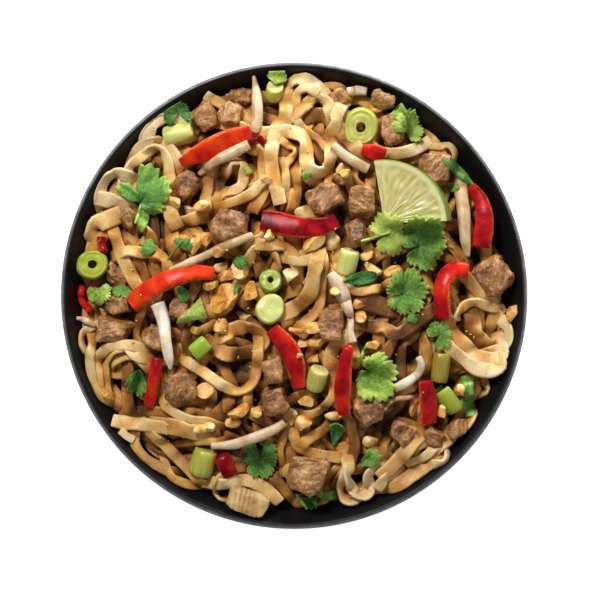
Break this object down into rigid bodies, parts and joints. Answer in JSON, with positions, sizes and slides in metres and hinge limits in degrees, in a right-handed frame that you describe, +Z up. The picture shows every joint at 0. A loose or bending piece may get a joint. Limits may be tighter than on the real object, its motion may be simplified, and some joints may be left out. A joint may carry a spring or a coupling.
{
  "type": "bowl of pad thai",
  "caption": "Round low dark bowl heaped with flat rice noodles, meat cubes, red pepper strips, scallions, sprouts and a lime wedge, ready to serve.",
  "frame": {"origin": "on the surface that the bowl stands on, under the bowl's centre", "axes": "+Z up along the bowl's axis, +Y towards the far side of the bowl, +X towards its right side, where the lime wedge lies"},
  "size_m": [0.23, 0.23, 0.0663],
  "materials": {
    "bowl_glaze": "satin black glaze with a lighter worn lip",
    "noodles": "moist and slightly see-through, cream to brown with sauce",
    "meat": "cooked brown, coarse grained, moist",
    "pepper": "glossy red skin with a paler cut side",
    "scallion": "pale green, moist, darker at its outer layer",
    "sprout": "whitish and slightly see-through",
    "lime": "pale yellow-green flesh inside a green rind",
    "leek": "pale, long fibres"
  },
  "bodies": {
    "root": {"bowl": "bowl_glaze", "leek_stem": "leek", "lime_wedge": "lime", "meat_01": "meat", "meat_02": "meat", "meat_03": "meat", "meat_04": "meat", "meat_05": "meat", "meat_06": "meat", "meat_07": "meat", "meat_08": "meat", "meat_09": "meat", "meat_10": "meat", "meat_11": "meat", "meat_12": "meat", "meat_13": "meat", "meat_14": "meat", "meat_15": "meat", "meat_16": "meat", "meat_17": "meat", "meat_18": "meat", "meat_19": "meat", "meat_20": "meat", "meat_21": "meat", "meat_22": "meat", "meat_23": "meat", "meat_24": "meat", "meat_25": "meat", "meat_26": "meat", "meat_27": "meat", "noodle_heap": "noodles", "pepper_01": "pepper", "pepper_02": "pepper", "pepper_03": "pepper", "pepper_04": "pepper", "pepper_05": "pepper", "pepper_06": "pepper", "pepper_07": "pepper", "pepper_08": "pepper", "pepper_09": "pepper", "pepper_10": "pepper", "pepper_11": "pepper", "scallion_01": "scallion", "scallion_02": "scallion", "scallion_03": "scallion", "scallion_04": "scallion", "scallion_05": "scallion", "scallion_06": "scallion", "scallion_07": "scallion", "scallion_08": "scallion", "scallion_09": "scallion", "scallion_10": "scallion", "scallion_11": "scallion", "scallion_12": "scallion", "sprout_01": "sprout", "sprout_02": "sprout", "sprout_03": "sprout", "sprout_04": "sprout", "sprout_05": "sprout"}
  },
  "joints": []
}
